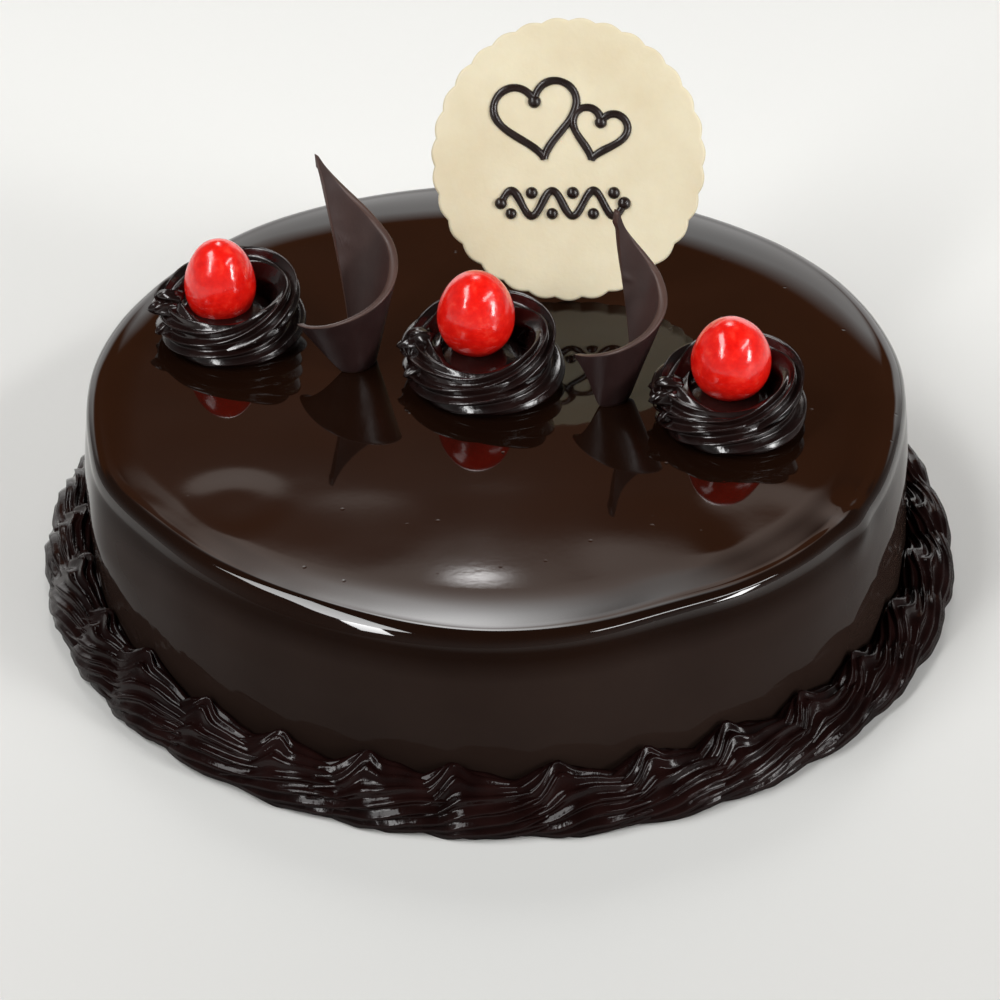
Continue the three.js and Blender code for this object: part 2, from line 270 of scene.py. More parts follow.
def skin(rings):
    """Points and faces of a closed skin over rings, with a fan at each end."""
    rings = np.asarray(rings)
    rows, columns = rings.shape[:2]
    points = np.concatenate([rings.reshape(-1, 3), [rings[0].mean(0)], [rings[-1].mean(0)]])
    faces = grid_faces(rows, columns)
    last = (rows - 1) * columns
    for j in range(columns):
        k = (j + 1) % columns
        faces.append((k, j, rows * columns))
        faces.append((last + j, last + k, rows * columns + 1))
    return points, faces


def join_skins(skins):
    """Several skins as one set of points and faces."""
    points, faces, first = [], [], 0
    for part_points, part_faces in skins:
        points.append(part_points)
        faces += [tuple(first + i for i in face) for face in part_faces]
        first += len(part_points)
    return np.concatenate(points), faces


def star(ridges, sides, depth, soft=0.05):
    """Angles and radius shares of a star-tip section: sharp ridges with round grooves."""
    angles = around(sides)
    groove = np.sqrt(np.sin(angles * ridges / 2) ** 2 + soft ** 2)
    return angles, 1 - depth * (groove - soft)


def sweep(path, radii, angles, shares, twist, wide=1.0, tall=1.0):
    """Rings of a star section carried along a path, upright as far as the path lets them be."""
    forward = np.gradient(path, axis=0)
    forward /= np.linalg.norm(forward, axis=1)[:, None]
    side = np.cross(forward, (0.0, 0.0, 1.0))
    side /= np.linalg.norm(side, axis=1)[:, None]
    upward = np.cross(side, forward)
    turn = angles[None, :] + twist[:, None]
    reach = radii[:, None] * shares
    across = (reach * np.cos(turn) * np.reshape(wide, (-1, 1)))[:, :, None] * side[:, None, :]
    up = (reach * np.sin(turn) * np.reshape(tall, (-1, 1)))[:, :, None] * upward[:, None, :]
    return path[:, None, :] + across + up


# ---------------------------------------------------------------- materials
# Glaze by height in metres: where the wall's tone with its painted reflection ends and the top's begins, and
# the rounded edge.
GLAZE_TONES = ((TOP - 13) * MM, (TOP - 7) * MM)
GLAZE_EDGE = ((TOP - 5) * MM, TOP * MM)
# How strongly the glaze mirrors: on the wall, on the edge, and the top's share of the way between.
GLAZE_IOR = {"wall": 1.12, "edge": 1.6, "top_share": 0.56}
# Ganache: name, darkest and lightest colour, smoothest and roughest skin, index of refraction.
SWIRL_LOOK = ("piped_swirl", (0.0058, 0.0022, 0.0019), (0.0135, 0.0054, 0.0047), 0.11, 0.24, 1.56)
SHELL_LOOK = ("piped_shells", (0.0045, 0.0014, 0.0012), (0.0120, 0.0042, 0.0037), 0.08, 0.18, 1.25)
# Set chocolate: name, darkest and lightest colour, roughness.
LEAF_LOOKS = (
    ("leaf_outside", (0.022, 0.0100, 0.0095), (0.034, 0.0165, 0.0155), 0.34),
    ("leaf_edge", (0.050, 0.024, 0.018), (0.082, 0.042, 0.032), 0.45),
    ("leaf_inside", (0.026, 0.0110, 0.0088), (0.045, 0.0200, 0.0162), 0.62),
)
LINE_LOOK = ("disc_line", (0.009, 0.0045, 0.0035), (0.018, 0.0085, 0.0065), 0.28)
# The pale floor in metres: half its width, and its painted shade from the front to the back, darker at the
# front.
FLOOR = {"half": 4.0, "front_y": -0.42, "back_y": 0.2}
FLOOR_PAINTED_SHADE = ((0.0, (0.51, 0.51, 0.495)), (0.45, (0.655, 0.655, 0.637)), (1.0, (0.88, 0.885, 0.86)))
BLACK, WHITE = (0.0, 0.0, 0.0), (1.0, 1.0, 1.0)


def feed(tree, node, inputs):
    """Set a node's inputs by name or number, linking those that are sockets."""
    for key, value in inputs.items():
        if isinstance(value, bpy.types.NodeSocket):
            tree.links.new(value, node.inputs[key])
        else:
            node.inputs[key].default_value = value


def node_adder(tree):
    """Helper that adds a node to a tree, with its settings and then its inputs."""
    def add(kind, inputs=(), **settings):
        node = tree.nodes.new(kind)
        for key, value in settings.items():
            setattr(node, key, value)
        feed(tree, node, dict(inputs))
        return node

    return add


def node_material(name):
    """New material, a helper to add nodes to it and one to feed its Principled shader."""
    material = bpy.data.materials.new(name)
    material.use_nodes = True
    tree = material.node_tree
    return material, node_adder(tree), lambda inputs: feed(tree, tree.nodes["Principled BSDF"], inputs)


def object_noise(add, scale, detail=3.0, roughness=0.5, stretch=(1, 1, 1)):
    """Noise texture in the object's own space, in features per metre."""
    place = add("ShaderNodeTexCoord").outputs["Object"]
    sized = add("ShaderNodeMapping", {"Vector": place, "Scale": stretch}).outputs["Vector"]
    inputs = {"Vector": sized, "Scale": scale, "Detail": detail, "Roughness": roughness}
    return add("ShaderNodeTexNoise", inputs).outputs["Fac"]


def ramp(add, fac, stops):
    """Colour ramp from (position, colour) pairs."""
    node = add("ShaderNodeValToRGB", {"Fac": fac})
    elements = node.color_ramp.elements
    while len(elements) < len(stops):
        elements.new(0.5)
    for element, (position, colour) in zip(elements, stops):
        element.position = position
        element.color = (*colour, 1.0)
    return node.outputs["Color"]


def level(add, fac, low, high, from_low=0.3, from_high=0.7):
    """Value brought from one range to another, as from noise to roughness or height."""
    inputs = {"Value": fac, "From Min": from_low, "From Max": from_high, "To Min": low, "To Max": high}
    return add("ShaderNodeMapRange", inputs).outputs["Result"]


def blend(add, factor, first, second, kind="MIX"):
    """Two colours mixed or added."""
    inputs = {"Factor": factor, "A": first, "B": second}
    return add("ShaderNodeMix", inputs, data_type="RGBA", blend_type=kind).outputs["Result"]


def bump(add, heights):
    """Normal from a chain of bumps, each a height socket, a depth in metres and a strength."""
    before = {}
    for height, distance, strength in heights:
        inputs = {"Height": height, "Distance": distance, "Strength": strength, **before}
        before = {"Normal": add("ShaderNodeBump", inputs).outputs["Normal"]}
    return before["Normal"]


def noise_bumps(add, *layers):
    """Normal from layers of noise: features per metre, detail, depth in metres and strength."""
    return bump(add, [(object_noise(add, scale, detail), *depth) for scale, detail, *depth in layers])


def glaze_material():
    """Mirror glaze: near-black brown with a wall lightened by painted reflection, wettest on the rounded
    edge, with faint waves and a few pits.
    """
    material, add, shade = node_material("dark_glaze")
    place = add("ShaderNodeTexCoord").outputs["Object"]
    height = add("ShaderNodeSeparateXYZ", {"Vector": place}).outputs["Z"]
    tone = object_noise(add, 26, 4)
    on_top = ramp(add, tone, [(0.3, (0.0070, 0.0026, 0.0013)), (0.7, (0.0105, 0.0038, 0.0018))])
    # The wall's lighter, greyer tone is painted reflection of the pale floor, which the wall's low index
    # barely mirrors.
    wall_painted_reflection = ramp(add, tone, [(0.3, (0.0165, 0.0095, 0.0074)), (0.7, (0.0225, 0.0135, 0.0105))])
    upper = level(add, height, 0.0, 1.0, *GLAZE_TONES)
    over_edge = level(add, height, 0.0, 1.0, *GLAZE_EDGE)
    wet = ramp(add, over_edge, [(0.0, BLACK), (0.55, WHITE), (0.93, (GLAZE_IOR["top_share"],) * 3)])
    pits = add("ShaderNodeTexVoronoi", {"Vector": place, "Scale": 120.0}).outputs["Distance"]
    shade({
        "Base Color": blend(add, upper, wall_painted_reflection, on_top),
        "Roughness": level(add, object_noise(add, 60, 5), 0.024, 0.042),
        "IOR": level(add, wet, GLAZE_IOR["wall"], GLAZE_IOR["edge"], 0.0, 1.0),
        "Normal": bump(add, [
            (object_noise(add, 40, 2), 0.0006, 0.012),
            (object_noise(add, 500, 2), 0.0001, 0.010),
            (level(add, pits, -1.0, 0.0, 0.02, 0.07), 0.0002, 0.12),
        ]),
    })
    return material


def ganache_material(name, dark, light, smoothest, roughest, ior):
    """Piped ganache: wet dark chocolate with a finely uneven skin."""
    material, add, shade = node_material(name)
    shade({
        "Base Color": ramp(add, object_noise(add, 130, 4), [(0.3, dark), (0.7, light)]),
        "Roughness": level(add, object_noise(add, 240, 4), smoothest, roughest),
        "IOR": ior,
        "Normal": noise_bumps(add, (300, 3, 0.0006, 0.2), (1400, 2, 0.0002, 0.1)),
    })
    return material


def cherry_material():
    """Glazed cherry: translucent bright red with a mottled skin under a wet gloss."""
    material, add, shade = node_material("glazed_cherry")
    reds = [(0.3, (0.70, 0.005, 0.003)), (0.55, (0.84, 0.012, 0.006)), (0.75, (0.90, 0.050, 0.028))]
    shade({
        "Base Color": ramp(add, object_noise(add, 420, 5, 0.6), reds),
        "Roughness": level(add, object_noise(add, 300, 4), 0.12, 0.26),
        "IOR": 1.45,
        "Subsurface Weight": 0.25,
        "Subsurface Radius": (1.0, 0.12, 0.06),
        "Subsurface Scale": 0.003,
        "Coat Weight": 0.4,
        "Coat Roughness": 0.06,
        "Normal": noise_bumps(add, (170, 3, 0.0012, 0.16), (900, 3, 0.0003, 0.2)),
    })
    return material


def chocolate_material(name, dark, light, rough):
    """Set dark chocolate: satin, with faint streaks from the sheet it set on."""
    material, add, shade = node_material(name)
    streaks = object_noise(add, 90, 5, 0.6, (1, 1, 0.25))
    shade({
        "Base Color": ramp(add, streaks, [(0.3, dark), (0.7, light)]),
        "Roughness": level(add, object_noise(add, 200, 4), rough - 0.06, rough + 0.08),
        "IOR": 1.48,
        "Normal": noise_bumps(add, (260, 4, 0.0004, 0.25), (1500, 2, 0.0001, 0.25)),
    })
    return material


def white_chocolate_material():
    """White chocolate: cream with cloudy patches and a satin skin."""
    material, add, shade = node_material("white_chocolate")
    creams = [(0.3, (0.67, 0.58, 0.40)), (0.7, (0.74, 0.67, 0.49))]
    shade({
        "Base Color": ramp(add, object_noise(add, 55, 5, 0.6), creams),
        "Roughness": level(add, object_noise(add, 150, 4), 0.38, 0.55),
        "IOR": 1.46,
        "Subsurface Weight": 0.2,
        "Subsurface Radius": (1.0, 0.7, 0.4),
        "Subsurface Scale": 0.0015,
        "Normal": noise_bumps(add, (120, 3, 0.0006, 0.25), (900, 3, 0.0002, 0.25)),
    })
    return material


def floor_material():
    """Pale floor with painted shade, darker towards the front."""
    material, add, shade = node_material("pale_floor")
    place = add("ShaderNodeTexCoord").outputs["Object"]
    back = add("ShaderNodeSeparateXYZ", {"Vector": place}).outputs["Y"]
    depth = level(add, back, 0.0, 1.0, FLOOR["front_y"], FLOOR["back_y"])
    # The floor's colour is painted shade: darker towards the front, paler towards the back.
    shade({"Base Color": ramp(add, depth, FLOOR_PAINTED_SHADE), "Roughness": 0.6})
    return material


# ---------------------------------------------------------------- cake body
def body_profile():
    """Radius and height along the body's outline, from the base's middle to the top's middle."""
    foot_inner, shoulder, inner = WALL_RADIUS - FOOT_RADIUS, TOP - EDGE_RADIUS, TOP_RADIUS - EDGE_RADIUS
    base = [(r, 0.0) for r in np.linspace(0, foot_inner, BODY["base_rows"])[1:-1]]
    foot = [(foot_inner + FOOT_RADIUS * math.sin(a), FOOT_RADIUS * (1 - math.cos(a)))
            for a in np.linspace(0, math.pi / 2, BODY["foot_rows"])]
    straight = BODY["straight_to"]
    wall = []
    for z in np.linspace(FOOT_RADIUS, shoulder, BODY["wall_rows"])[1:-1]:
        share = max(0.0, (z / TOP - straight) / (shoulder / TOP - straight))
        wall.append((mix(WALL_RADIUS, TOP_RADIUS, share ** BODY["taper_power"]), z))
    edge = [(inner + EDGE_RADIUS * math.cos(a), shoulder + EDGE_RADIUS * math.sin(a))
            for a in np.linspace(0, math.pi / 2, BODY["edge_rows"])]
    top = [(r, TOP) for r in np.linspace(inner, BODY["inner_ring"], BODY["top_rows"])[1:]]
    return np.array(base + foot + wall + edge + top)


def near(angle, middle, width):
    """Soft peak of 1 round the cake at a middle angle in degrees, falling off with some width."""
    away = (math.degrees(angle) - middle + 180) % 360 - 180
    return math.exp(-(away / width) ** 2)


def droop(radius, angle):
    """How far the top has sunk towards its edge, from further in at the front and the back."""
    back = eased(math.sin(angle), *DROOP["back_sine"])
    start = DROOP["from"] - DROOP["front"] * near(angle, DROOP["front_middle"], DROOP["front_width"])
    start -= DROOP["back"] * near(angle, DROOP["back_middle"], DROOP["back_width"])
    past = max(0.0, min(radius, TOP_RADIUS - EDGE_RADIUS) - start)
    return mix(DROOP["front_rate"], DROOP["back_rate"], back) * past ** 2


def bulge(angle):
    """How far the wall stands out at an angle."""
    return sum(depth * near(angle, middle, width) for middle, width, depth in BULGES)


def squared(radius, z, angle):
    """A point of the rounded edge, moved towards the corner where the edge is squarer."""
    shoulder, inner = TOP - EDGE_RADIUS, TOP_RADIUS - EDGE_RADIUS
    if z <= shoulder or radius <= inner:
        return radius, z
    power = EDGE_POWER - sum(amount * near(angle, middle, width) for middle, width, amount in SHARPER)
    return (inner + EDGE_RADIUS * ((radius - inner) / EDGE_RADIUS) ** power,
            shoulder + EDGE_RADIUS * ((z - shoulder) / EDGE_RADIUS) ** power)


def patch(x, y, at_x, at_y, width):
    """Flat-topped patch of 1 on the top, gone some width away."""
    return math.exp(-(math.hypot(x - at_x, y - at_y) / width) ** 4)


def top_relief(x, y):
    """Height of the top's waves, tilt and dents."""
    (broad, broad_span), (fine, fine_span) = TOP_WAVES["broad"], TOP_WAVES["fine"]
    waves = broad * wobble(x / broad_span, y / broad_span, 1.7)
    waves += fine * wobble(x / fine_span, y / fine_span, 5.1)
    waves *= 1 - patch(x, y, CALM["x"], CALM["y"], CALM["width"])
    tilt = SIDE_TILT * y * (x / TOP_RADIUS) ** 2
    return waves + tilt - sum(deep * patch(x, y, dx, dy, wide) for dx, dy, wide, deep in DENTS)


def wall_relief(angle, z):
    """How far the wall's waves stand out."""
    c, s = math.cos(angle), math.sin(angle)
    (broad, turns, span), (fine, fine_turns, fine_span) = WALL_WAVES["broad"], WALL_WAVES["fine"]
    return (broad * wobble(turns * c, turns * s, z / span)
            + fine * wobble(fine_turns * c, fine_turns * s, z / fine_span + 9))


def glaze_relief(x, y, z):
    """Push along the outward normal at a point, from the way the glaze flowed and set."""
    share = eased(math.hypot(x, y) / TOP_RADIUS, *FADE["wall_radius"])
    return mix(top_relief(x, y), wall_relief(math.atan2(y, x), z), share)


def lump(x, y, z):
    """A bulge where the glaze caught on the right front edge."""
    return LUMP["high"] * math.exp(-(math.dist((x, y, z), LUMP["at"]) / LUMP["width"]) ** 2)


def build_body(material):
    profile = body_profile()
    angles = around(BODY["columns"])
    along = np.gradient(profile, axis=0)
    normals = np.stack([along[:, 1], -along[:, 0]], 1)
    normals /= np.linalg.norm(normals, axis=1)[:, None]
    bulges = [bulge(angle) for angle in angles]
    rings = []
    for (plain_radius, plain_z), (out, up) in zip(profile, normals):
        raised = eased(plain_z / TOP, *FADE["sag_height"])
        spread = eased(plain_radius / TOP_RADIUS, *FADE["bulge_radius"])
        spread *= eased(plain_z / TOP, *FADE["bulge_height"])
        ring = []
        for angle, swell in zip(angles, bulges):
            radius, z = squared(plain_radius, plain_z, angle)
            c, s = math.cos(angle), math.sin(angle)
            x, y = radius * c, radius * s
            push = glaze_relief(x, y, z) + lump(x, y, z) if z > FLAT_BASE else 0.0
            reach = radius + push * out + swell * spread
            ring.append((reach * c, reach * s, z + push * up - droop(radius, angle) * raised))
        rings.append(ring)
    points, faces = skin(rings)
    return mesh_piece("glaze_body", points, faces, [material], "cake_body")


# ---------------------------------------------------------------- border
def shell_swell(t, outward):
    """Share of its full size that a shell has at a place along it, reached later on its outer side."""
    late = t - SWELL["outer_lag"] * np.clip(outward, 0, 1)
    rise = smooth((late - SWELL["from"]) / (SWELL["rise_length"] * -SWELL["from"]) - SWELL["rise_delay"])
    fall = smooth(late / (SWELL["fall_length"] * SWELL["to"]))
    return np.where(late < 0, mix(SWELL["start"], 1.0, rise), mix(1.0, SWELL["end"], fall))


def shell_cap(t):
    """Share of a shell's size left at a place along it, so that both its ends close round."""
    begun, left = (t - SWELL["from"]) / SWELL["cap"], (SWELL["to"] - t) / SWELL["cap"]
    return math.sqrt(min(1, begun)) * math.sqrt(min(1, left))


def shell_ring(seed, size, tall, t):
    """Radii from the cake's middle and heights once round a shell, at a place along it."""
    angles, shares = star(BORDER["ridges"], BORDER["sides"], BORDER["depth"])
    section = angles + BORDER["twist"] * t + UNEVEN["twist"] * wobble(seed, t * 1.5)
    outward, upward = np.cos(section), np.sin(section)
    swell, cap = shell_swell(t, outward), shell_cap(t)
    fat = swell * (SWELL["least"] + (1 - SWELL["least"]) * cap) * size
    grain = np.array([wobble(seed + 2.2 * c, 2.2 * u, 5 * t) for c, u in zip(outward, upward)])
    rough = 1 + UNEVEN["skin"] * grain
    up = BORDER["high"] * fat * shares * rough * tall * upward
    width = SWELL["narrowest"] + (1 - SWELL["narrowest"]) * fat / size
    out = BORDER["wide"] * width * cap * shares * rough * outward
    peak = PEAK["high"] * math.exp(-((t - PEAK["at"]) / PEAK["width"]) ** 2)
    peak = peak * np.clip(np.sin(section + PEAK["turn"]), 0, 1) ** PEAK["power"]
    radius = BORDER["middle"] + out - BORDER["leans_in"] * up - PEAK["leans_in"] * peak
    z = BORDER["high"] * (SWELL["seat"] + SWELL["lift"] * swell) * tall + up + peak
    return np.maximum(radius, WALL_RADIUS - BORDER["into_wall"]), np.maximum(z, 0.0)


def shell_rings(index):
    """Rings of one piped shell: a quick swell against the wall, then a long ridged tail."""
    seed = index * 7.31
    size = 1 + UNEVEN["size"] * wobble(seed, 0.3)
    tall = 1 + UNEVEN["height"] * wobble(seed, 4.1)
    pitch = 360.0 / BORDER["shells"]
    crest = BORDER["first_crest"] + pitch * (index + UNEVEN["place"] * wobble(seed, 8.8))
    rings = []
    for t in np.linspace(SWELL["from"], SWELL["to"], BORDER["steps"]):
        theta = math.radians(crest + pitch * t)
        radius, z = shell_ring(seed, size, tall, t)
        rings.append(np.stack([radius * math.cos(theta), radius * math.sin(theta), z], 1))
    return rings


def build_border(material):
    skins = [skin(shell_rings(i)) for i in range(BORDER["shells"])]
    points, faces = join_skins(skins)
    return mesh_piece("piped_border", points, faces, [material], "shell_border")


# ---------------------------------------------------------------- rosettes
def keyed(degrees, column):
    """Value of one column of the rope's table at every angle, with the corners rounded off."""
    angles = ROPE_KEYS[:, 0]
    spread = np.linspace(-ROPE["key_round"], ROPE["key_round"], ROPE["key_samples"])
    return np.mean([np.interp(degrees + shift, angles, ROPE_KEYS[:, column]) for shift in spread], axis=0)


def rope_path(radius, height, plan):
    """Middle line, half width and half height of the swirl: a wide turn, then a rising one."""
    seed = plan["seed"]
    t = np.linspace(0, 1, ROPE["steps"])
    degrees = mix(ROPE_KEYS[0, 0], ROPE_KEYS[-1, 0], t)
    jitter = np.array([[wobble(seed, 9.0 * s, k) for k in (0.5, 4.5, 9.5)] for s in t])
    reach = radius * keyed(degrees, 1) + ROPE["drift"] * jitter[:, 0]
    rise = height * keyed(degrees, 2) + ROPE["drift"] * jitter[:, 1]
    uneven = 1 + ROPE["uneven"] * jitter[:, 2]
    wide = radius * keyed(degrees, 3) * uneven
    high = height * keyed(degrees, 4) * uneven
    turn = np.radians(degrees + plan["spin"])
    return t, np.stack([reach * np.cos(turn), reach * np.sin(turn), rise], 1), wide, high


def torn_ends(t, angles, seed):
    """Share of the section left at each ridge, so that the rope's two ends are ragged."""
    count = ROPE["ridges"]
    ridge = np.floor(angles / TAU * count + 0.5).astype(int) % count
    lengths = [ROPE["torn_least"] + ROPE["torn_more"] * abs(wobble(seed, k * 3.7)) for k in range(count)]
    ends = np.array(lengths)[ridge]
    start = np.sqrt(np.clip(t[:, None] / ROPE["start_length"], ROPE["torn_floor"], 1))
    return start * np.sqrt(np.clip((1 - t[:, None]) / ends[None, :], ROPE["torn_floor"], 1))


def rope_rings(radius, height, plan):
    """Rings of the ridged rope, its upper turn leaning out and smoother on the inside."""
    t, path, wide, tall = rope_path(radius, height, plan)
    angles, shares = star(ROPE["ridges"], ROPE["sides"], ROPE["depth"])
    unwound = np.array([wobble(plan["seed"], 7 * s, 2.5) for s in t])
    twist = ROPE["twist"] * t + ROPE["uneven_twist"] * unwound
    section = angles[None, :] + twist[:, None]
    inner = smooth(-np.cos(section) * ROPE["smooth_side"])
    inner = inner * smooth((t - ROPE["smooth_from"]) / ROPE["smooth_over"])[:, None]
    shares = mix(shares[None, :], 1 - 0.5 * ROPE["depth"], inner * ROPE["smoothed"])
    shares = shares * torn_ends(t, angles, plan["seed"])
    rings = sweep(path, np.ones_like(t), angles, shares, twist, wide, tall)
    leaning = ROPE["lean"] * smooth((t - ROPE["lean_from"]) / ROPE["lean_over"])
    lean = leaning[:, None] * (rings[:, :, 2] - path[:, 2][:, None])
    away = path[:, :2] / np.linalg.norm(path[:, :2], axis=1)[:, None]
    rings[:, :, :2] += lean[:, :, None] * away[:, None, :]
    rings[:, :, 2] = np.maximum(rings[:, :, 2], -SINK)
    return rings


def spike(root, tip, radius, seed):
    """A small torn tip of ganache from one point to another."""
    t = np.linspace(0, 1, SPIKE["steps"])[:, None]
    bend = np.array([0.0, 0.0, 1.0]) * np.sin(t * math.pi) * SPIKE["bend"] * (1 + wobble(seed, 2.0))
    path = mix(np.asarray(root), np.asarray(tip), t) + bend
    angles, shares = star(SPIKE["ridges"], SPIKE["sides"], SPIKE["depth"])
    radii = radius * (1 - t[:, 0]) ** SPIKE["power"] + SPIKE["tip"]
    return skin(sweep(path, radii, angles, shares, t[:, 0] * SPIKE["twist"] + seed))


def spikes(radius, height, plan):
    """The torn tips on one swirl."""
    skins = []
    for k, (turn, root, tip, rise, size) in enumerate(SPIKES):
        spin = math.radians(turn + plan["spin"] + SPIKE["scatter"] * wobble(plan["seed"], k + 0.5))
        ends = [(share * radius * math.cos(spin), share * radius * math.sin(spin), height * lift)
                for share, lift in ((root, rise * SPIKE["root_drop"]), (tip, rise))]
        skins.append(spike(ends[0], ends[1], size, plan["seed"] + k))
    return skins


def rosette_core(radius, height):
    """Low mound under the cherry that the rope is wound round."""
    angles = around(CORE["columns"])
    rings = []
    for lift in np.linspace(0, math.pi / 2, CORE["rows"]):
        r = radius * CORE["wide"] * math.cos(lift) + CORE["tip"]
        z = -SINK + height * CORE["high"] * math.sin(lift) ** CORE["power"]
        rings.append(np.stack([r * np.cos(angles), r * np.sin(angles), np.full(len(angles), z)], 1))
    return skin(rings)


def build_rosette(side, material):
    low, high = box_mm(f"rosette_{side}")
    middle = (low + high) / 2
    radius = float(high[0] - low[0]) / 2 + SWIRL_WIDER
    height = float(high[2] - TOP) + SWIRL_TALLER
    plan = ROSETTES[side]
    skins = [skin(rope_rings(radius, height, plan)), rosette_core(radius, height)]
    points, faces = join_skins(skins + spikes(radius, height, plan))
    points += (middle[0], middle[1], TOP)
    return mesh_piece(f"swirl_{side}", points, faces, [material], f"rosette_{side}")


# ---------------------------------------------------------------- cherries
def build_cherry(side, material):
    low, high = box_mm(f"cherry_{side}")
    middle = (low + high) / 2 + (0, 0, CHERRY["raised"])
    half_width, half_height = (high[0] - low[0]) / 2, (high[2] - low[2]) / 2 + CHERRY["raised"]
    waves, seed = CHERRY["waves"], CHERRY_SEEDS[side]
    last = math.pi / 2 - CHERRY["pole_gap"]
    rings = []
    for lift in np.linspace(-last, last, CHERRY["rows"]):
        slim = 1 - CHERRY["slimmer_top"] * math.sin(lift)
        size = np.array([slim * half_width, slim * half_width, half_height])
        ring = []
        for turn in around(CHERRY["columns"]):
            ray = np.array([math.cos(lift) * math.cos(turn), math.cos(lift) * math.sin(turn), math.sin(lift)])
            dent = 1 + CHERRY["uneven"] * wobble(ray[0] * waves + seed, ray[1] * waves, ray[2] * waves)
            ring.append(middle + ray * size * dent)
        rings.append(ring)
    points, faces = skin(rings)
    return mesh_piece(f"fruit_{side}", points, faces, [material], f"cherry_{side}")


# ---------------------------------------------------------------- curled leaves
def curl_edges(plan, degrees):
    """Lower and upper edge of a curled leaf at an angle, as heights above the glaze."""
    along = (degrees - plan["from"]) / (plan["to"] - plan["from"])
    upper = plan["low_tip"] + plan["steady"] * along + plan["sweep"] * along ** CURL["sweep_power"]
    narrowest = mix(CURL["low_width"], CURL["high_width"], along)
    dip = (plan["low_tip"] - narrowest) * (1 - eased(along, 0.0, CURL["dip_length"]))
    lift = min(1.0, max(0.0, (degrees - plan["lift_from"]) / (plan["to"] - plan["lift_from"])))
    return min(dip + lift ** plan["lift_power"] * upper, upper - narrowest), upper


def crease(degrees, z):
    """Depth of the faint fold across a leaf, near its high tip only."""
    off = z - CREASE["height"] - CREASE["slope"] * (degrees - CREASE["level_at"])
    fold = CREASE["depth"] * math.exp(-(off / CREASE["width"]) ** 2)
    return fold * eased(degrees, CREASE["from"], CREASE["over"])


def curl_point(plan, degrees, share, depth):
    """Point of the leaf at an angle and a share of the way up, off its middle face by some depth."""
    lower, upper = curl_edges(plan, degrees)
    rim = plan["rim"] + plan["flare"] * ((degrees - CURL["flare_at"]) / CURL["flare_over"]) ** 2
    foot = mix(CURL["foot_radius"], rim, lower / upper)
    z = mix(lower, upper, share)
    wave_depth, turn_span, height_span = LEAF_WAVES
    wave = wave_depth * wobble(degrees / turn_span, z / height_span, plan["x"]) - crease(degrees, z)
    aside = (degrees - CURL["thick_at"]) / CURL["thick_width"]
    extra = CURL["thicker_right"] * math.exp(-aside ** 2) * share ** 2
    if depth < 0:
        depth *= 1 + 2 * extra / CURL["thickness"]
    radius = mix(foot, rim, share) + depth + wave
    spin = math.radians(degrees)
    return (plan["x"] + plan["lean"][0] * z + radius * math.cos(spin),
            plan["y"] + plan["lean"][1] * z + radius * math.sin(spin), TOP + z - CURL["sunk"])


def curl_section():
    """Shares up the leaf and depths through it, once round its cross-section, and which are edge."""
    half, low, high = CURL["thickness"] / 2, CURL["edge"], 1 - CURL["edge"]
    rows = np.linspace(low, high, CURL["rows"])
    arc = np.linspace(0, math.pi, CURL["round_steps"] + 2)[1:-1]
    outer = [(s, half, False) for s in rows]
    over = [(high + low * math.sin(a), half * math.cos(a), True) for a in arc]
    inner = [(s, -half, False) for s in rows[::-1]]
    under = [(low - low * math.sin(a), -half * math.cos(a), True) for a in arc]
    return outer + over + inner + under


def build_curl(side, materials):
    """One leaf, with its own material on its outer face, its edges and its inner face."""
    plan = CURLS[side]
    section = curl_section()
    rings = []
    for degrees in np.linspace(plan["from"], plan["to"], CURL["steps"]):
        rings.append([curl_point(plan, degrees, share, depth) for share, depth, _ in section])
    points, faces = skin(rings)
    columns = len(section)
    kinds = []
    for j in range(columns):
        is_edge = section[j][2] or section[(j + 1) % columns][2]
        kinds.append(1 if is_edge else 0 if section[j][1] > 0 else 2)
    quads = (len(rings) - 1) * columns
    slots = [kinds[i % columns] for i in range(quads)] + [1] * (len(faces) - quads)
    return mesh_piece(f"leaf_{side}", points, faces, materials, f"curl_{side}", slots)


# ---------------------------------------------------------------- disc and its piping
def disc_outline(inset):
    """Scalloped oval, drawn in from its full size, with its lowest point at height 0."""
    steps = DISC["scallops"] * DISC["steps_per_scallop"]
    angle = around(steps) - math.pi / 2
    bulge = np.abs(np.cos((angle + math.pi / 2) * DISC["scallops"] / 2))
    drawn = inset + DISC["scallop_depth"] * (1 - bulge)
    across = (DISC["width"] / 2 - drawn) * np.cos(angle)
    up = DISC["tall"] / 2 + (DISC["tall"] / 2 - drawn) * np.sin(angle)
    return np.stack([across, up], 1)


def disc_place(points):
    """From the disc's own face (right, up, forward) to the cake."""
    lean = math.radians(DISC["lean"])
    points = np.asarray(points, dtype=float)
    across, up, forward = points[:, 0], points[:, 1], points[:, 2]
    x = DISC["x"] + across
    y = DISC["y"] + up * math.sin(lean) - forward * math.cos(lean)
    z = TOP + DISC["gap"] - SINK + (DISC["thickness"] + forward) * math.sin(lean) + up * math.cos(lean)
    return np.stack([x, y, z], 1)


def disc_rings():
    """Rings from the middle of the front face, round the rim, to the middle of the back face."""
    centre = np.array([0.0, DISC["tall"] / 2])
    edge, thick = DISC["edge"], DISC["thickness"]
    rings = []

    def ring(scale, inset, forward):
        flat = centre + (disc_outline(inset) - centre) * scale
        rings.append(np.column_stack([flat, np.full(len(flat), forward)]))

    scales = np.linspace(DISC["middle"], DISC["last_ring"], DISC["face_rings"])
    bends = np.linspace(0, math.pi / 2, DISC["rim_rings"])
    for scale in scales:
        ring(scale, edge, 0.0)
    for a in bends:
        ring(1.0, edge * (1 - math.sin(a)), -edge * (1 - math.cos(a)))
    for a in bends[::-1]:
        ring(1.0, edge * (1 - math.sin(a)), -thick + edge * (1 - math.cos(a)))
    for scale in scales[::-1]:
        ring(scale, edge, -thick)
    return np.array(rings)


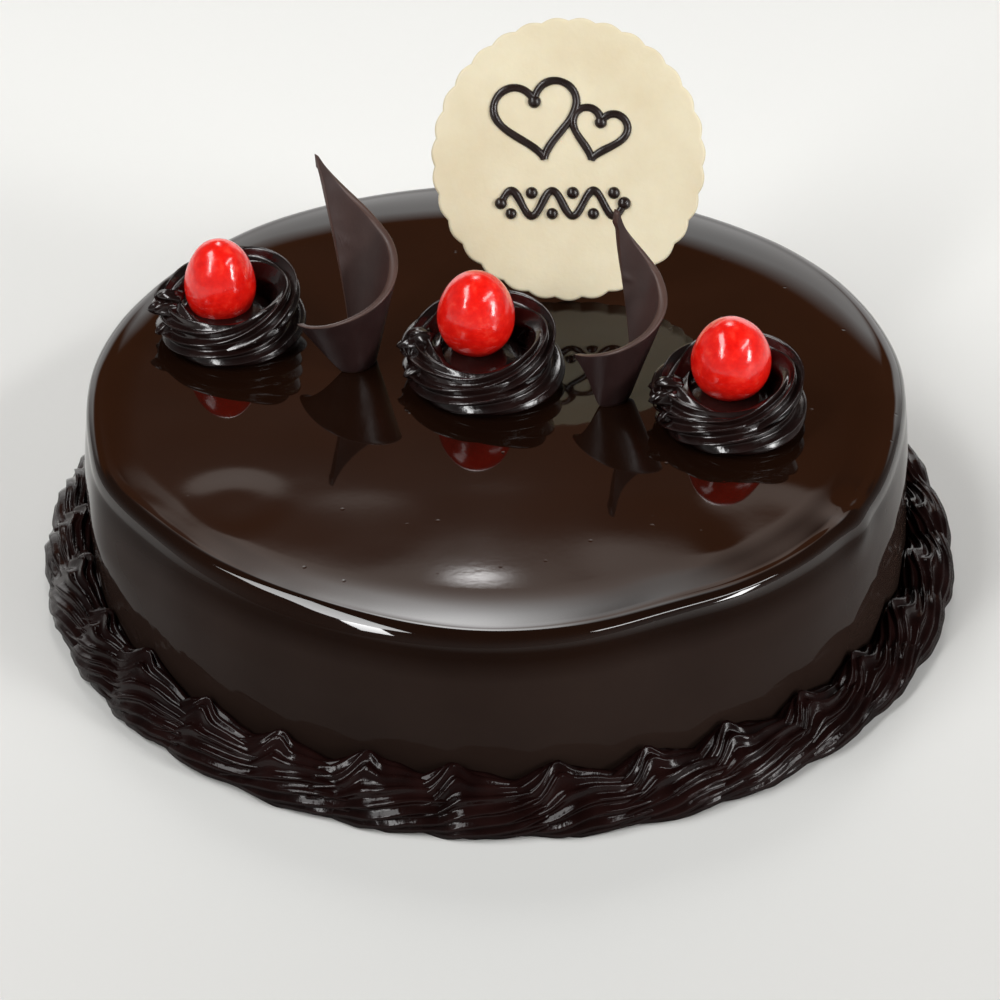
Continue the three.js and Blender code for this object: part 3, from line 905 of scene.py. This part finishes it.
def build_disc(material):
    rings = disc_rings()
    flat = rings.reshape(-1, 3)
    spots = np.column_stack([flat[:, :2] / DISC["uneven_span"], np.full(len(flat), 3.3)])
    flat[:, 2] += DISC["uneven"] * wobbles(spots)
    points, faces = skin(flat.reshape(rings.shape))
    return mesh_piece("disc_plate", disc_place(points), faces, [material], "white_disc")


def heart_line(heart):
    """Middle line of a piped heart, open by a small gap at its notch."""
    t = np.linspace(HEART_GAP, TAU - HEART_GAP, HEART_STEPS)
    across = heart["width"] / 2 * np.sin(t) ** 3
    up = heart["width"] / 32 * (13 * np.cos(t) - 5 * np.cos(2 * t) - 2 * np.cos(3 * t) - np.cos(4 * t))
    turn = math.radians(heart["tilt"])
    return np.stack([heart["x"] + across * math.cos(turn) - up * math.sin(turn),
                     heart["y"] + across * math.sin(turn) + up * math.cos(turn)], 1)


def wave_line():
    """Middle line of the piped wave under the hearts."""
    t = np.linspace(0, 1, WAVE["steps"])
    up = WAVE["y"] + WAVE["swing"] * np.sin(TAU * WAVE["waves"] * t)
    return np.stack([WAVE["x"] + WAVE["length"] * t, up], 1)


def piped_line(line, seed):
    """A piped stroke on the disc's face, a little uneven, with a bead at each end."""
    path = np.column_stack([line, np.zeros(len(line))])
    forward = np.gradient(path, axis=0)
    forward /= np.linalg.norm(forward, axis=1)[:, None]
    side = np.stack([forward[:, 1], -forward[:, 0], np.zeros(len(path))], 1)
    travelled = np.concatenate([[0], np.cumsum(np.linalg.norm(np.diff(line, axis=0), axis=1))])
    uneven = np.array([wobble(s / PIPING["uneven_span"], seed) for s in travelled])
    radii = PIPING["radius"] * (1 + PIPING["uneven"] * uneven)
    angles = around(PIPING["sides"])
    rings = (path[:, None, :] + (radii[:, None] * np.cos(angles))[:, :, None] * side[:, None, :]
             + (radii[:, None] * np.sin(angles) * PIPING["flat"])[:, :, None] * np.array([0.0, 0.0, 1.0]))
    return [skin(rings), bead(line[0], seed), bead(line[-1], seed + 1)]


def bead(spot, seed):
    """A flattened drop on the disc's face."""
    size = BEAD["radius"] * (1 + BEAD["uneven"] * wobble(seed * 3.1, 0.5))
    angles = around(BEAD["sides"])
    rings = []
    for lift in np.linspace(-BEAD["last_lift"], BEAD["last_lift"], BEAD["rows"]):
        r, forward = size * math.cos(lift), size * BEAD["flat"] * math.sin(lift)
        rings.append(np.stack([spot[0] + r * np.cos(angles), spot[1] + r * np.sin(angles),
                               np.full(len(angles), forward)], 1))
    return skin(rings)


def build_piping(material):
    skins = []
    for k, heart in enumerate(HEARTS):
        skins += piped_line(heart_line(heart), 2.0 + 5 * k)
    skins += piped_line(wave_line(), 17.0)
    halves = WAVE["waves"] * 2
    for i in range(halves):
        x = WAVE["x"] + WAVE["length"] * (i + 0.5) / halves
        skins.append(bead((x, WAVE["y"] + (1 if i % 2 else -1) * WAVE["bead_offset"]), 30.0 + i))
    points, faces = join_skins(skins)
    return mesh_piece("disc_piping", disc_place(points), faces, [material])


# ---------------------------------------------------------------- stage, lights and camera
def build_floor():
    mesh = bpy.data.meshes.new("floor")
    corners = [(x * FLOOR["half"], y * FLOOR["half"], 0) for x, y in ((-1, -1), (1, -1), (1, 1), (-1, 1))]
    mesh.from_pydata(corners, [], [(0, 1, 2, 3)])
    mesh.materials.append(floor_material())
    floor = new_object("floor", mesh)


PLAIN, WARM, BROWN = (0.99, 0.975), (0.77, 0.66), (0.36, 0.16)
# Elevation in degrees, brightness and tint of the studio: straight behind the cake, to the sides of
# that and in front.
BEHIND = ((0, 1.55, PLAIN), (24, 1.50, PLAIN), (29, 0.28, BROWN), (35.5, 0.28, BROWN), (36.2, 1.10, WARM),
          (41, 1.2, WARM), (48, 1.6, PLAIN), (57, 1.4, PLAIN), (59, 0.04, PLAIN), (90, 0.03, PLAIN))
BESIDE = ((0, 1.55, PLAIN), (24, 1.50, PLAIN), (29, 0.28, BROWN), (35.4, 0.28, BROWN), (38, 0.06, PLAIN),
          (60, 0.04, PLAIN), (90, 0.03, PLAIN))
BEFORE = ((0, 0.35, PLAIN), (20, 0.18, PLAIN), (40, 0.07, PLAIN), (60, 0.04, PLAIN), (90, 0.03, PLAIN))
# Where the back begins and is full, by how far behind the cake a direction is, y less its |x|. Then
# how far to the side the part straight behind reaches, by |x|.
BACK = {"begins": 0.05, "full": 0.35}
SHEEN = {"full": 0.09, "gone": 0.15}
# A window's glow high up behind the cake and a small bright spot, by the direction's own x and z.
GLOW = {"x": -0.04, "wide": 0.085, "height": 0.81, "tall": 0.11, "top": 0.838, "bright": 11.0}
SPOT = {"x": -0.007, "wide": 0.0085, "height": 0.5910, "tall": 0.0012, "bright": 17.0}


def elevation_ramp(add, fac, stops):
    """Colours by elevation in degrees, from a direction's height between 0 and 1."""
    return ramp(add, fac, [
        (math.sin(math.radians(degrees)), (value, value * tint[0], value * tint[1]))
        for degrees, value, tint in stops
    ])


def math_node(add, kind, *values):
    """Result of one step of arithmetic on numbers or sockets."""
    return add("ShaderNodeMath", enumerate(values), operation=kind).outputs["Value"]


def hump(add, value, middle, width):
    """Soft peak of 1 at a value, falling off with some width."""
    away = math_node(add, "DIVIDE", math_node(add, "SUBTRACT", value, middle), width)
    away_squared = math_node(add, "MULTIPLY", away, away)
    return math_node(add, "EXPONENT", math_node(add, "MULTIPLY", away_squared, -1.0))


def bright_patch(add, x, y, z, plan):
    """A soft bright patch of the studio, somewhere behind the cake."""
    across, up = hump(add, x, plan["x"], plan["wide"]), hump(add, z, plan["height"], plan["tall"])
    behind = math_node(add, "GREATER_THAN", y, 0.0)
    shape = math_node(add, "MULTIPLY", across, up)
    return math_node(add, "MULTIPLY", shape, math_node(add, "MULTIPLY", behind, plan["bright"]))


def build_world():
    """Pale room with a dim belt behind the cake, which the glazed top mirrors, a glow and a spot."""
    world = bpy.data.worlds.new("studio")
    world.use_nodes = True
    bpy.context.scene.world = world
    tree = world.node_tree
    add = node_adder(tree)
    direction = add("ShaderNodeTexCoord").outputs["Generated"]
    split = add("ShaderNodeSeparateXYZ", {"Vector": direction})
    x, y, z = (split.outputs[axis] for axis in "XYZ")
    aside = math_node(add, "ABSOLUTE", x)
    behind = level(add, math_node(add, "SUBTRACT", y, aside), 0.0, 1.0, BACK["begins"], BACK["full"])
    narrow = level(add, aside, 0.0, 1.0, SHEEN["gone"], SHEEN["full"])
    back = blend(add, narrow, elevation_ramp(add, z, BESIDE), elevation_ramp(add, z, BEHIND))
    room = blend(add, behind, elevation_ramp(add, z, BEFORE), back)
    below = math_node(add, "LESS_THAN", z, GLOW["top"])
    glow = math_node(add, "MULTIPLY", bright_patch(add, x, y, z, GLOW), below)
    patches = math_node(add, "ADD", glow, bright_patch(add, x, y, z, SPOT))
    feed(tree, tree.nodes["Background"], {"Color": blend(add, 1.0, room, patches, "ADD"), "Strength": 1.0})


# Name, direction from the cake, direction of its height, width and height in metres, radiance.
LIGHTS = (
    ("window_right", (0.77, -0.50, 0.33), (-0.02, 0.50, 0.60), 0.38, 1.00, 21.0),
    ("window_left", (-0.54, -0.60, 0.56), (0.08, 0.52, 0.52), 0.28, 0.90, 19.0),
    ("lamp_left", (-0.49, -0.19, 0.82), (-0.01, 0.76, 0.09), 0.54, 1.43, 9.5),
    ("lamp_right", (0.60, -0.32, 0.66), (0.30, 0.62, -0.05), 0.22, 1.43, 12.0),
)
LIGHT_DISTANCE = 2.2
CAMERA = {"lens": 133.7, "sensor": 36.0, "at": (0.0002, -0.7574, 0.5468), "down": 35.04}


def softbox(name, direction, along, width, height, radiance):
    """Rectangular studio light that faces the middle of the cake, its height along a direction."""
    data = bpy.data.lights.new(name, "AREA")
    data.shape = "RECTANGLE"
    data.size, data.size_y = width, height
    data.energy = radiance * math.pi * width * height
    light = new_object(name, data)
    aim = Vector(direction).normalized()
    up = Vector(along)
    up = (up - up.dot(aim) * aim).normalized()
    turn = Matrix((up.cross(aim), up, aim)).transposed().to_4x4()
    light.matrix_world = Matrix.Translation(Vector((0, 0, TOP * MM)) + aim * LIGHT_DISTANCE) @ turn


def build_lights():
    for light in LIGHTS:
        softbox(*light)


def build_camera():
    """Seen from the front, about 35 degrees down, from about 93 cm away."""
    data = bpy.data.cameras.new("camera")
    data.lens = CAMERA["lens"]
    data.sensor_width = CAMERA["sensor"]
    camera = new_object("camera", data)
    camera.location = CAMERA["at"]
    camera.rotation_euler = (math.radians(90 - CAMERA["down"]), 0, 0)
    bpy.context.scene.camera = camera


# ---------------------------------------------------------------- the whole cake
def build_cake():
    swirls, shells = ganache_material(*SWIRL_LOOK), ganache_material(*SHELL_LOOK)
    cherry = cherry_material()
    leaf = [chocolate_material(*look) for look in LEAF_LOOKS]
    piping = chocolate_material(*LINE_LOOK)
    build_body(glaze_material())
    build_border(shells)
    for side in SIDES:
        build_rosette(side, swirls)
        build_cherry(side, cherry)
    for side in CURLS:
        build_curl(side, leaf)
    build_disc(white_chocolate_material())
    build_piping(piping)


bpy.context.scene.view_settings.view_transform = "Standard"
build_cake()
build_floor()
build_world()
build_lights()
build_camera()
